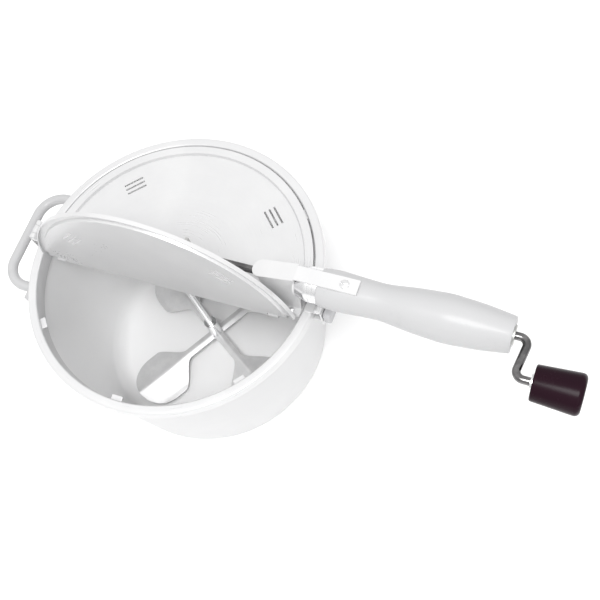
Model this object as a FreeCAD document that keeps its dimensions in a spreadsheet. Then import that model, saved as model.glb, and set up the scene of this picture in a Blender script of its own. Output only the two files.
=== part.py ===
"""Hand-crank popcorn popper: a stove-top pan with two half-moon lid doors and a bevel-geared stirrer.

Frame: millimetres, +Z up, the origin on the pan's underside at its axis, +X along the long handle.
The front door stands open at rest, the rear door is shut and both latches are closed.
"""
import FreeCAD, Part
import math
import os
import re
import Sketcher

Vector = FreeCAD.Vector
X_AXIS = Vector(1, 0, 0)
Y_AXIS = Vector(0, 1, 0)
Z_AXIS = Vector(0, 0, 1)
TURNED = {"X": FreeCAD.Rotation(Z_AXIS, X_AXIS), "Y": FreeCAD.Rotation(Z_AXIS, Y_AXIS),
          "Z": FreeCAD.Rotation()}

# Driving sizes: millimetres, degrees and counts.
SIZES = {
    # how far the cutting tools run past what they cut
    "tool_margin": 20.0,
    # pan
    "pan_height": 142.7, "pan_mouth_radius": 116.0, "pan_lean": 16.7, "pan_wall": 1.6,
    "pan_corner_radius": 15.5, "bead_radius": 2.5,
    # helper handle on the far side
    "loop_drop": 15.7, "loop_stand_off": 29.0, "loop_half_width": 42.0, "loop_bar_radius": 4.2,
    "loop_bend_radius": 20.0, "lug_length": 24.0, "lug_height": 15.0, "lug_stand_off": 5.0,
    "rivet_radius": 2.0, "rivet_head_radius": 3.6, "rivet_head_height": 1.3, "rivet_spacing": 16.0,
    "rivet_grip": 9.0,
    # lid ring and crossbar
    "lid_overhang": 4.0, "lid_sheet": 1.2, "skirt_depth": 9.0, "skirt_gap": 0.4,
    "flange_inset": 3.1, "flange_taper": 1.7, "flange_depth": 13.0, "ledge_drop": 3.3,
    "stop_inset": 4.4, "stop_reach": 4.5, "door_stop_width": 9.0, "door_stop_spread": 50.0,
    "bar_stop_width": 22.0, "recess_gap": 0.8,
    "bar_half_width": 12.6, "bar_sheet": 1.6, "bar_flange_depth": 8.0, "bar_flange_half_length": 100.0,
    # doors and hinges
    "door_edge_gap": 1.4, "door_sheet": 1.0, "door_gap": 0.1, "door_ridge_width": 6.0,
    "door_ridge_height": 2.2, "door_angle": 92.0, "hinge_offset": 15.3, "hinge_pin_radius": 1.5,
    "hinge_play": 0.05, "curl_half_length": 88.0, "ear_gap": 0.5, "ear_length": 8.0,
    "ear_radius": 2.8, "ear_clearance": 0.6, "slot_length": 17.0, "slot_width": 1.6, "slot_pitch": 4.2,
    "slot_centre": 88.0, "slot_bearing": 45.0, "slot_count": 3,
    "tab_width": 9.0, "tab_height": 7.0, "tab_sheet": 1.2, "tab_bearing": 30.0, "tab_inset": 9.5,
    # handle
    "handle_axis_height": 178.9, "grip_start": 131.0, "grip_front_radius": 15.2,
    "grip_waist_radius": 13.2, "grip_waist_distance": 46.0, "grip_palm_radius": 17.8,
    "grip_palm_distance": 91.0, "grip_end_radius": 14.2, "grip_length": 135.4, 
    "grip_bore_play": 0.9, "ferrule_radius": 12.8, "ferrule_length": 17.0, "ferrule_neck_radius": 10.5,
    "end_bush_radius": 7.0, "end_bush_length": 5.0, "end_bush_stand": 1.2,
    # handle bracket
    "bracket_tip": 79.0, "bracket_tip_height": 184.5, "bracket_sheet": 1.5, "bracket_half_width": 6.8,
    "bracket_foot_start": 97.0, "bracket_foot_end": 111.4, "foot_width": 5.2, "tail_length": 29.0,
    "tail_half_width": 5.6, "web_heel": 4.0, "web_nose_depth": 8.0,
    "tail_side_gap": 0.6, "tail_hole_setback": 10.0,
    "screw_radius": 1.8, "screw_head_radius": 3.4, "screw_head_height": 1.4, "screw_length": 8.5,
    # crank
    "rod_radius": 2.9, "rod_play": 0.05, "rod_tail": 19.0, "crank_bend_start": 277.3,
    "crank_bend_return": 273.4, "crank_throw": 28.5, "crank_bend_radius": 5.5, "spindle_end": 311.0,
    "knob_start": 286.0, "knob_length": 32.4, "knob_small_radius": 12.3, "knob_large_radius": 14.2,
    "knob_round": 3.6, "knob_recess_radius": 6.5, "knob_recess_depth": 9.0, "washer_radius": 6.0,
    "washer_thickness": 1.2, "nut_radius": 5.2, "nut_thickness": 2.5, "plug_thickness": 2.4,
    "washer_gap": 0.2,
    # gears
    "drive_teeth": 12, "driven_teeth": 18, "gear_module": 1.1667, "gear_face": 4.6,
    "tooth_root_share": 0.50, "tooth_pitch_share": 0.40, "tooth_tip_share": 0.20,
    "addendum_share": 0.75, "dedendum_share": 1.05, "gear_hub_radius": 5.6, "drive_hub_length": 5.0,
    "driven_hub_length": 6.0, "gear_back": 1.6,
    # gear frame
    "frame_sheet": 2.0, "frame_half_width": 9.0, "frame_near": 24.0, "frame_far": -16.0,
    "frame_top_margin": 8.0, "shaft_bush_radius": 5.6, "shaft_bush_height": 16.0,
    "shaft_bush_flange_radius": 8.5, "shaft_bush_flange": 1.5,
    # stirrer
    "shaft_radius": 3.0, "shaft_play": 0.05, "shaft_top_gap": 1.2, "shaft_foot": 4.0,
    "collar_radius": 6.2, "collar_height": 7.0, "collar_drop": 0.4, "hub_radius": 5.6,
    "hub_foot": 6.0, "hub_height": 28.0, "blade_count": 4, "blade_bearing": -122.0,
    "blade_reach": 88.0, "blade_half_width": 24.0, "blade_arm_half_width": 4.2, "blade_neck": 34.0,
    "blade_shoulder": 54.0, "blade_corner": 74.0, "blade_nose_half_width": 9.0, "blade_rise": 9.0,
    "blade_sheet": 1.2, "blade_foot": 3.2, "blade_seat": 0.6,
    # latches
    "latch_overhang": 4.6, "latch_pivot_rise": 3.8, "latch_pin_radius": 1.4, "latch_play": 0.05,
    "latch_barrel_radius": 2.7, "latch_half_width": 8.0, "latch_barrel_half_length": 3.4,
    "latch_barrel_gap": 0.3, "latch_base_setback": 5.8, "latch_sheet": 1.4, "latch_plate_drop": 21.0,
    "latch_hook_length": 9.8, "latch_hook_drop": 13.3, "pad_thickness": 6.5, "pad_height": 13.0,
    "near_pad_half_width": 8.0, "far_pad_half_width": 5.4, "pad_drop": 5.0,
}

doc = FreeCAD.newDocument("popcorn_popper")
sheet = doc.addObject("Spreadsheet::Sheet", "Sizes")
for row, (alias, value) in enumerate(SIZES.items(), start=1):
    sheet.set(f"A{row}", alias)
    sheet.set(f"B{row}", str(value))
    sheet.setAlias(f"B{row}", alias)
doc.recompute()

parts = []


def size(name):
    """One driving size, read back from the sheet."""
    return float(sheet.get(name))


def bound(text):
    """An expression on size names, with each name pointed at the sheet."""
    return re.sub(r"[a-z][a-z_]+[a-z]", lambda m: f"Sizes.{m[0]}" if m[0] in SIZES else m[0], text)


def node(label, thing):
    """Marks a finished sub-part, named for its file."""
    thing.Label = label
    parts.append(thing)
    return thing


def place(thing, x="0", y="0", z="0", turn=None):
    """Puts an object at a bound position, with a fixed turn."""
    if turn is not None:
        thing.Placement = FreeCAD.Placement(Vector(), turn)
    for letter, text in zip("xyz", (x, y, z)):
        thing.setExpression(f"Placement.Base.{letter}", bound(text))
    return thing


def cylinder(name, radius, length, x="0", y="0", z="0", along="Z"):
    """A bound cylinder that starts at a point and runs along an axis."""
    thing = doc.addObject("Part::Cylinder", name)
    thing.setExpression("Radius", bound(radius))
    thing.setExpression("Height", bound(length))
    return place(thing, x, y, z, TURNED[along])


def box(name, x, y, z):
    """A bound box between low and high values on each axis."""
    thing = doc.addObject("Part::Box", name)
    for side, (low, high) in zip(("Length", "Width", "Height"), (x, y, z)):
        thing.setExpression(side, bound(f"({high}) - ({low})"))
    return place(thing, x[0], y[0], z[0])


def fuse(name, *things):
    """One solid from several."""
    thing = doc.addObject("Part::MultiFuse", name)
    thing.Shapes = list(things)
    thing.Refine = True
    return thing


def cut(name, base, *tools):
    """A solid less its tools."""
    thing = doc.addObject("Part::Cut", name)
    thing.Base = base
    thing.Tool = tools[0] if len(tools) == 1 else fuse(name + "_tools", *tools)
    return thing


def common(name, *things):
    """What several solids share."""
    thing = doc.addObject("Part::MultiCommon", name)
    thing.Shapes = list(things)
    return thing


def outline(body, role, points):
    """A closed sketch of straight sides whose corners are bound to the sheet, on one origin plane."""
    sketch = body.newObject("Sketcher::SketchObject", body.Name + "_outline")
    plane = next(item for item in body.Origin.OriginFeatures if item.Role == role)
    sketch.AttachmentSupport = [(plane, "")]
    sketch.MapMode = "FlatFace"
    count = len(points)
    turns = [math.tau * index / count for index in range(count + 1)]
    rough = [Vector(100 * math.cos(turn), 100 * math.sin(turn), 0) for turn in turns]
    for start, end in zip(rough, rough[1:]):
        sketch.addGeometry(Part.LineSegment(start, end), False)
    for index in range(count):
        sketch.addConstraint(Sketcher.Constraint("Coincident", index, 2, (index + 1) % count, 1))
    for index, point in enumerate(points):
        for kind, rough_value, text in zip(("DistanceX", "DistanceY"), rough[index], point):
            number = sketch.addConstraint(Sketcher.Constraint(kind, -1, 1, index, 1, rough_value))
            sketch.setExpression(f"Constraints[{number}]", bound(text))
    return sketch


def turned(name, points, about="V_Axis"):
    """A body turned from a bound outline on the XZ plane, about Z (V_Axis) or X (H_Axis)."""
    body = doc.addObject("PartDesign::Body", name)
    sketch = outline(body, "XZ_Plane", points)
    feature = body.newObject("PartDesign::Revolution", name + "_turned")
    feature.Profile = sketch
    feature.ReferenceAxis = (sketch, [about])
    feature.Angle = 360
    return body


def plate(name, points, thickness, middle="0"):
    """A flat plate in the XZ plane: a bound outline padded to both sides of its middle plane."""
    body = doc.addObject("PartDesign::Body", name)
    sketch = outline(body, "XZ_Plane", points)
    feature = body.newObject("PartDesign::Pad", name + "_pad")
    feature.Profile = sketch
    feature.Midplane = True
    feature.setExpression("Length", bound(thickness))
    return place(body, y=middle)


def rounded(body, name, radius, wanted):
    """Rounds a turned body's circular edges that the test picks by radius and height."""
    doc.recompute()
    base = body.Tip
    edges = [f"Edge{number}" for number, edge in enumerate(base.Shape.Edges, start=1)
             if isinstance(edge.Curve, Part.Circle) and wanted(edge.Curve)]
    feature = body.newObject("PartDesign::Fillet", name)
    feature.Base = (base, edges)
    feature.setExpression("Radius", bound(radius))
    return feature


def solid(name, shape, at=(0, 0, 0)):
    """A sub-part whose shape is worked out directly, with its turns kept in its geometry."""
    turns = shape.Placement.toMatrix()
    shape.Placement = FreeCAD.Placement()
    thing = doc.addObject("Part::Feature", name)
    thing.Shape = shape.transformed(turns, True)
    thing.Placement = FreeCAD.Placement(Vector(*at), FreeCAD.Rotation())
    return thing


def mirrored(side, low, high):
    """A span on the positive side of an axis, or its mirror image."""
    return (low, high) if side > 0 else (f"-({high})", f"-({low})")


def near(value, target):
    return abs(value - target) < 1e-3


def rod_along(points, bend, radius):
    """A round rod along straight runs joined by tangent arcs."""
    corners = [Vector(*point) for point in points]
    edges = []
    start = corners[0]
    for before, corner, after in zip(corners, corners[1:], corners[2:]):
        into = (corner - before).normalize()
        out = (after - corner).normalize()
        half_turn = into.getAngle(out) / 2
        setback = bend * math.tan(half_turn)
        arc_start = corner - into * setback
        arc_end = corner + out * setback
        inward = (out - into).normalize()
        middle = corner + inward * (bend / math.cos(half_turn) - bend)
        edges.append(Part.LineSegment(start, arc_start).toShape())
        edges.append(Part.Arc(arc_start, middle, arc_end).toShape())
        start = arc_end
    edges.append(Part.LineSegment(start, corners[-1]).toShape())
    section = Part.Wire(Part.makeCircle(radius, corners[0], corners[1] - corners[0]))
    return Part.Wire(edges).makePipeShell([section], True, True)


# Sizes that follow others --------------------------------------------------------------------------

LID_TOP = "(pan_height + lid_sheet)"
LEDGE_TOP = f"({LID_TOP} - ledge_drop)"
BAR_TOP = f"({LEDGE_TOP} + bar_sheet)"
PAN_FOOT_RADIUS = "(pan_mouth_radius - pan_lean)"
LID_RADIUS = "(pan_mouth_radius + lid_overhang)"
FLANGE_TOP = "(pan_mouth_radius - flange_inset)"
FLANGE_FOOT = f"({FLANGE_TOP} - flange_taper)"
STOP_START = f"({FLANGE_TOP} - stop_inset)"
DOOR_RADIUS = f"({FLANGE_TOP} - door_edge_gap)"
LATCH_REACH = f"({LID_RADIUS} + latch_overhang)"
LATCH_BASE_START = f"({LID_RADIUS} - latch_base_setback)"
LOOP_HEIGHT = "(pan_height - loop_drop)"


# Pan --------------------------------------------------------------------------------------------

WALL_TOP = "(pan_height - bead_radius)"
WALL_SLOPE = f"pan_lean / {WALL_TOP}"
LOOP_WALL_RADIUS = f"({PAN_FOOT_RADIUS} + {WALL_SLOPE} * {LOOP_HEIGHT})"


def pan_radius(height):
    """The outside radius of the pan's wall at a height."""
    share = height / (size("pan_height") - size("bead_radius"))
    return size("pan_mouth_radius") - size("pan_lean") * (1 - share)


def make_rivet_axes(name, radius, start, length):
    """Four short cylinders through the two lugs of the helper handle."""
    group = []
    for side in (-1, 1):
        for offset in (-0.5, 0.5):
            y = f"{side} * (loop_half_width + {offset} * rivet_spacing)"
            group.append(cylinder(f"{name}_{len(group)}", radius, length, start, y, LOOP_HEIGHT, "X"))
    return group


LUG_FACE = f"-sqrt({LOOP_WALL_RADIUS}^2 - (loop_half_width - lug_length / 2)^2) - lug_stand_off"


def make_pan():
    profile = [("0", "0"), (PAN_FOOT_RADIUS, "0"), ("pan_mouth_radius", WALL_TOP),
               ("pan_mouth_radius - pan_wall", WALL_TOP), (f"{PAN_FOOT_RADIUS} - pan_wall", "pan_wall"),
               ("0", "pan_wall")]
    body = turned("pan_shell", profile)
    foot = size("pan_mouth_radius") - size("pan_lean")
    rounded(body, "pan_outer_corner", "pan_corner_radius", lambda c: near(c.Radius, foot))
    inside = foot - size("pan_wall")
    rounded(body, "pan_inner_corner", "pan_corner_radius - pan_wall", lambda c: near(c.Radius, inside))
    bead = doc.addObject("Part::Torus", "pan_bead")
    bead.setExpression("Radius1", bound("pan_mouth_radius + bead_radius - pan_wall"))
    bead.setExpression("Radius2", bound("bead_radius"))
    place(bead, z=WALL_TOP)
    holes = make_rivet_axes("pan_rivet_hole", "rivet_radius", "-pan_mouth_radius - tool_margin",
                            "3 * tool_margin")
    node("pan_bowl", cut("pan_bowl_cut", fuse("pan_bowl_blank", body, bead), *holes))


def make_helper_handle():
    reach = size("pan_mouth_radius") + size("loop_stand_off")
    half = size("loop_half_width")
    height = size("pan_height") - size("loop_drop")
    seat = -math.sqrt(pan_radius(height) ** 2 - (half - size("lug_length") / 2) ** 2)
    inner = seat - size("lug_stand_off")
    path = [(inner, -half, height), (-reach, -half, height), (-reach, half, height), (inner, half, height)]
    node("helper_handle_loop", solid("loop", rod_along(path, size("loop_bend_radius"),
                                                       size("loop_bar_radius"))))
    wall = turned("lug_wall_tool", [("0", "0"), (PAN_FOOT_RADIUS, "0"),
                                    ("pan_mouth_radius", WALL_TOP), ("0", WALL_TOP)])
    for side, where in ((-1, "front"), (1, "rear")):
        middle = f"({side} * loop_half_width)"
        blank = box(f"lug_blank_{where}", (LUG_FACE, "-tool_margin"),
                    (f"{middle} - lug_length / 2", f"{middle} + lug_length / 2"),
                    (f"{LOOP_HEIGHT} - lug_height / 2", f"{LOOP_HEIGHT} + lug_height / 2"))
        inside = box(f"lug_inside_{where}", ("-pan_mouth_radius * 0.78", "0"),
                     ("-pan_mouth_radius", "pan_mouth_radius"), ("0", "pan_height"))
        holes = make_rivet_axes(f"lug_hole_{where}", "rivet_radius", "-pan_mouth_radius - tool_margin",
                            "3 * tool_margin")
        lug = cut(f"lug_cut_{where}", blank, wall, inside, *holes)
        node(f"helper_handle_lug_{where}", lug)
    shanks = make_rivet_axes("helper_shank", "rivet_radius", LUG_FACE, "lug_stand_off + rivet_grip")
    heads = make_rivet_axes("helper_head", "rivet_head_radius", f"{LUG_FACE} - rivet_head_height",
                            "rivet_head_height")
    node("helper_handle_rivets", fuse("helper_rivets", *shanks, *heads))


# Lid: ring, crossbar and doors -------------------------------------------------------------------

HINGE_HEIGHT = f"({LEDGE_TOP} + door_gap + hinge_pin_radius + hinge_play + door_sheet)"
CURL_RADIUS = "(hinge_pin_radius + hinge_play + door_sheet)"
EAR_START = "(curl_half_length + ear_gap)"


def ring_stop(bearing, width):
    """A tab on the ring's flange, square to its bearing, that a door or the crossbar rests on."""
    turn = math.radians(bearing)
    along_x, along_y = round(math.cos(turn), 6), round(math.sin(turn), 6)
    tab = box(f"ring_stop_{bearing % 360:.0f}", ("0", "stop_reach"), ("0", width), ("0", "lid_sheet"))
    x = f"{along_x} * {STOP_START} + {along_y} * {width} / 2"
    y = f"{along_y} * {STOP_START} - {along_x} * {width} / 2"
    return place(tab, x, y, f"{LEDGE_TOP} - lid_sheet", FreeCAD.Rotation(Z_AXIS, bearing))


def make_lid_ring():
    skirt_in = "(pan_mouth_radius + 2 * bead_radius - pan_wall + skirt_gap)"
    profile = [(LID_RADIUS, f"{LID_TOP} - skirt_depth"), (LID_RADIUS, LID_TOP),
               (FLANGE_TOP, LID_TOP), (FLANGE_FOOT, f"{LID_TOP} - flange_depth"),
               (f"{FLANGE_FOOT} + lid_sheet", f"{LID_TOP} - flange_depth"),
               (f"{FLANGE_TOP} + lid_sheet", "pan_height"), (skirt_in, "pan_height"),
               (skirt_in, f"{LID_TOP} - skirt_depth")]
    spread = size("door_stop_spread")
    stops = [ring_stop(middle + step * spread, "door_stop_width") for middle in (90, 270)
             for step in (-1, 0, 1)]
    stops += [ring_stop(bearing, "bar_stop_width") for bearing in (0, 180)]
    node("lid_ring", fuse("ring_with_stops", turned("ring", profile), *stops))


def make_crossbar():
    within = cylinder("bar_limit", f"{FLANGE_TOP} - recess_gap", "2 * tool_margin",
                      z=f"{LEDGE_TOP} - tool_margin")
    strip = box("bar_strip", (f"-{LID_RADIUS}", LID_RADIUS), ("-bar_half_width", "bar_half_width"),
                (LEDGE_TOP, BAR_TOP))
    pieces = [common("bar_web", within, strip)]
    bores = [cylinder("bar_shaft_hole", "shaft_bush_radius", "2 * tool_margin",
                      z=f"{LEDGE_TOP} - tool_margin")]
    for side in (-1, 1):
        pieces.append(box(f"bar_flange_{side + 1}", ("-bar_flange_half_length", "bar_flange_half_length"),
                          mirrored(side, "bar_half_width - bar_sheet", "bar_half_width"),
                          (f"{LEDGE_TOP} - bar_flange_depth", BAR_TOP)))
        bores.append(cylinder(f"bar_pin_bore_{side + 1}", "hinge_pin_radius", f"2 * {LID_RADIUS}",
                              f"-{LID_RADIUS}", f"{side} * hinge_offset", HINGE_HEIGHT, "X"))
        for end in (-1, 1):
            span = mirrored(end, EAR_START, f"{EAR_START} + ear_length")
            name = f"ear_{side + 1}_{end + 1}"
            pieces.append(cylinder(name, "ear_radius", "ear_length", span[0], f"{side} * hinge_offset",
                                   HINGE_HEIGHT, "X"))
            pieces.append(box(name + "_root", span,
                              mirrored(side, "bar_half_width - bar_sheet", "hinge_offset"),
                              (LEDGE_TOP, f"{HINGE_HEIGHT} + ear_radius / 2")))
    node("lid_crossbar", cut("crossbar", fuse("crossbar_blank", *pieces), *bores))
    for side, label in ((-1, "front_hinge_pin"), (1, "rear_hinge_pin")):
        length = f"2 * ({EAR_START} + ear_length)"
        node(label, cylinder(label + "_rod", "hinge_pin_radius", length, f"-({EAR_START} + ear_length)",
                             f"{side} * hinge_offset", HINGE_HEIGHT, "X"))


def vent_slots(name, drop):
    """Two groups of slots through a door, across its radius on each side of the middle."""
    group = []
    for side in (-1, 1):
        bearing = math.radians(270 + side * size("slot_bearing"))
        turn = FreeCAD.Rotation(Z_AXIS, math.degrees(bearing))
        for index in range(int(size("slot_count"))):
            slot = box(f"{name}_{len(group)}", ("0", "slot_width"), ("0", "slot_length"),
                       ("-tool_margin / 2", "tool_margin / 2"))
            radial = f"(slot_centre + {index - 1} * slot_pitch - slot_width / 2)"
            along_x, along_y = round(math.cos(bearing), 6), round(math.sin(bearing), 6)
            x = f"{along_x} * {radial} + {along_y} * slot_length / 2"
            y = f"hinge_offset + {along_y} * {radial} - {along_x} * slot_length / 2"
            group.append(place(slot, x, y, drop, turn))
    return group


def make_door(label):
    """One half-moon door in its own frame: hinge axis on X, the closed panel reaching to -Y."""
    low = f"-{CURL_RADIUS}"
    high = f"({low} + door_sheet)"
    crown = f"({high} + door_ridge_height)"
    inner = f"({DOOR_RADIUS} - door_ridge_width)"
    profile = [("0", low), (f"{inner} - door_sheet", low), (f"{inner}", f"{crown} - door_sheet"),
               (f"{DOOR_RADIUS} - door_sheet", f"{crown} - door_sheet"), (f"{DOOR_RADIUS} - door_sheet", low),
               (DOOR_RADIUS, low), (DOOR_RADIUS, crown), (f"{inner} - door_sheet / 2", crown),
               (f"{inner} - 1.5 * door_sheet", high), ("0", high)]
    disc = place(turned(label + "_disc", profile), y="hinge_offset")
    panel_side = box(label + "_side", (f"-{DOOR_RADIUS}", DOOR_RADIUS),
                     (f"-{DOOR_RADIUS}", "-(ear_radius + ear_clearance)"), ("-tool_margin", "tool_margin"))
    half = common(label + "_half", disc, panel_side)
    hem = box(label + "_hem", ("-curl_half_length", "curl_half_length"),
              ("-(ear_radius + ear_clearance)", "0"), (low, high))
    curl = cylinder(label + "_curl", CURL_RADIUS, "2 * curl_half_length", "-curl_half_length", along="X")
    bore = cylinder(label + "_bore", "hinge_pin_radius + hinge_play", f"2 * {LID_RADIUS}", f"-{LID_RADIUS}",
                    along="X")
    blank = fuse(label + "_blank", half, hem, curl)
    door = cut(label + "_cut", blank, bore, *vent_slots(label + "_slot", low))
    return node(label, door)


def hang_front(thing):
    """Stands a piece of the front door up to its rest angle."""
    place(thing, y="-hinge_offset", z=HINGE_HEIGHT, turn=FreeCAD.Rotation(X_AXIS, -size("door_angle")))


def make_doors():
    hang_front(make_door("front_door"))
    place(make_door("rear_door"), y="hinge_offset", z=HINGE_HEIGHT, turn=FreeCAD.Rotation(Z_AXIS, 180))
    bearing = math.radians(size("tab_bearing"))
    door_radius = size("pan_mouth_radius") - size("flange_inset") - size("door_edge_gap")
    radius = door_radius - size("tab_inset") - size("door_ridge_width")
    width, rise, thick = size("tab_width"), size("tab_height"), size("tab_sheet")
    top = size("door_sheet") - (size("hinge_pin_radius") + size("hinge_play") + size("door_sheet"))
    foot = Part.makeBox(width, rise, thick, Vector(-width / 2, -rise, 0))
    upright = Part.makeBox(width, thick, rise, Vector(-width / 2, -thick, 0))
    shape = foot.fuse(upright).removeSplitter()
    shape.translate(Vector(0, -radius, 0))
    shape.rotate(Vector(), Z_AXIS, math.degrees(bearing))
    shape.translate(Vector(0, size("hinge_offset"), top))
    tab = node("front_door_tab", solid("door_tab", shape))
    hang_front(tab)


# Handle -----------------------------------------------------------------------------------------

BRACKET_END = "(grip_start - ferrule_length)"
TAIL_UNDER = "(handle_axis_height + ferrule_radius)"
TAIL_TOP = f"({TAIL_UNDER} + bracket_sheet)"
TAIL_END = "(grip_start + tail_length)"
TAIL_SCREW = f"({TAIL_END} - tail_hole_setback)"


def tail_space(name):
    """The flat that the bracket's tail lies on, as a tool."""
    return box(name, (BRACKET_END, f"{TAIL_END} + tail_side_gap"),
               ("-tail_half_width - tail_side_gap", "tail_half_width + tail_side_gap"),
               (TAIL_UNDER, f"{TAIL_UNDER} + tool_margin"))


def make_grip():
    profile = [("0", "0"), ("0", "grip_front_radius"), ("0.08 * grip_length", "grip_front_radius + 0.5"),
               ("0.21 * grip_length", "0.5 * (grip_front_radius + grip_waist_radius)"),
               ("grip_waist_distance", "grip_waist_radius"),
               ("0.5 * (grip_waist_distance + grip_palm_distance)",
                "0.5 * (grip_waist_radius + grip_palm_radius) + 0.4"),
               ("grip_palm_distance", "grip_palm_radius"),
               ("0.5 * (grip_palm_distance + grip_length)",
                "0.5 * (grip_palm_radius + grip_end_radius) + 0.6"),
               ("grip_length", "grip_end_radius"), ("grip_length", "0")]
    body = place(turned("grip_blank", profile, "H_Axis"), "grip_start", z="handle_axis_height")
    bore = cylinder("grip_bore", "rod_radius + grip_bore_play", "2 * grip_length", "grip_start - 1",
                    z="handle_axis_height", along="X")
    seat = cylinder("grip_bush_seat", "end_bush_radius", "end_bush_length",
                    "grip_start + grip_length - end_bush_length", z="handle_axis_height", along="X")
    hole = cylinder("grip_screw_hole", "screw_radius", "screw_length", TAIL_SCREW,
                    z=f"{TAIL_TOP} - screw_length")
    node("handle_grip", cut("grip", body, bore, seat, hole, tail_space("grip_flat")))


def make_handle_fittings():
    profile = [("0", "0"), ("0", "ferrule_neck_radius"), ("ferrule_length / 2", "ferrule_radius"),
               ("ferrule_length", "ferrule_radius"), ("ferrule_length", "0")]
    body = place(turned("ferrule_blank", profile, "H_Axis"), BRACKET_END, z="handle_axis_height")
    bore = cylinder("ferrule_bore", "rod_radius + grip_bore_play", "2 * ferrule_length",
                    f"{BRACKET_END} - 1", z="handle_axis_height", along="X")
    node("handle_ferrule", cut("ferrule", body, bore))
    bush = cylinder("bush_blank", "end_bush_radius", "end_bush_length + end_bush_stand",
                    "grip_start + grip_length - end_bush_length", z="handle_axis_height", along="X")
    hole = cylinder("bush_bore", "rod_radius + rod_play", "2 * tool_margin",
                    "grip_start + grip_length - tool_margin", z="handle_axis_height", along="X")
    node("handle_end_bush", cut("end_bush", bush, hole))
    shank = cylinder("tail_shank", "screw_radius", "screw_length", TAIL_SCREW,
                     z=f"{TAIL_TOP} - screw_length")
    head = cylinder("tail_head", "screw_head_radius", "screw_head_height", TAIL_SCREW, z=TAIL_TOP)
    node("handle_screw", fuse("tail_screw", shank, head))


def make_bracket():
    top = [("bracket_tip", "bracket_tip_height"), (BRACKET_END, TAIL_TOP), (TAIL_END, TAIL_TOP),
           (TAIL_END, TAIL_UNDER), (BRACKET_END, TAIL_UNDER),
           ("bracket_tip", "bracket_tip_height - bracket_sheet")]
    strap = plate("bracket_strap", top, "2 * bracket_half_width")
    nose = "bracket_tip + bracket_half_width"
    tall = (BAR_TOP, "2 * handle_axis_height")
    keep = fuse("strap_outline",
                cylinder("strap_nose", "bracket_half_width", "handle_axis_height", nose, z=BAR_TOP),
                box("strap_wide", (nose, BRACKET_END), ("-bracket_half_width", "bracket_half_width"), tall),
                box("strap_narrow", (nose, TAIL_END), ("-tail_half_width", "tail_half_width"), tall))
    web = [(nose, "bracket_tip_height - bracket_sheet / 2"),
           (BRACKET_END, f"{TAIL_UNDER} + bracket_sheet / 2"),
           (BRACKET_END, "handle_axis_height - ferrule_radius"),
           ("bracket_foot_end", f"{BAR_TOP} + web_heel"), ("bracket_foot_end", BAR_TOP),
           ("bracket_foot_start", BAR_TOP), (nose, "bracket_tip_height - web_nose_depth")]
    pieces = [common("bracket_top", strap, keep)]
    holes = [cylinder("tail_hole", "screw_radius", "tool_margin", TAIL_SCREW,
                      z=f"{TAIL_UNDER} - tool_margin / 2")]
    middle_x = "(bracket_foot_start + bracket_foot_end) / 2"
    for side in (-1, 1):
        middle = f"{side} * (bracket_half_width - bracket_sheet / 2)"
        pieces.append(plate(f"bracket_web_{side + 1}", web, "bracket_sheet", middle))
        span = mirrored(side, "bracket_half_width - bracket_sheet", "bracket_half_width + foot_width")
        pieces.append(box(f"bracket_foot_{side + 1}", ("bracket_foot_start", "bracket_foot_end"), span,
                          (BAR_TOP, f"{BAR_TOP} + bracket_sheet")))
    disc = cylinder("bracket_disc", "ferrule_neck_radius", "bracket_sheet",
                    f"{BRACKET_END} - bracket_sheet", z="handle_axis_height", along="X")
    holes.append(cylinder("bracket_rod_hole", "rod_radius + grip_bore_play", "tool_margin",
                          f"{BRACKET_END} - tool_margin / 2", z="handle_axis_height", along="X"))
    node("handle_bracket", cut("bracket", fuse("bracket_blank", disc, *pieces), *holes))
    heads = []
    for side in (-1, 1):
        y = f"{side} * (bracket_half_width + foot_width / 2)"
        heads.append(cylinder(f"foot_head_{side + 1}", "0.42 * foot_width", "rivet_head_height",
                              middle_x, y, f"{BAR_TOP} + bracket_sheet"))
    group = doc.addObject("Part::Compound", "foot_heads")
    group.Links = heads
    node("bracket_foot_rivets", group)


# Crank ------------------------------------------------------------------------------------------

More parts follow.
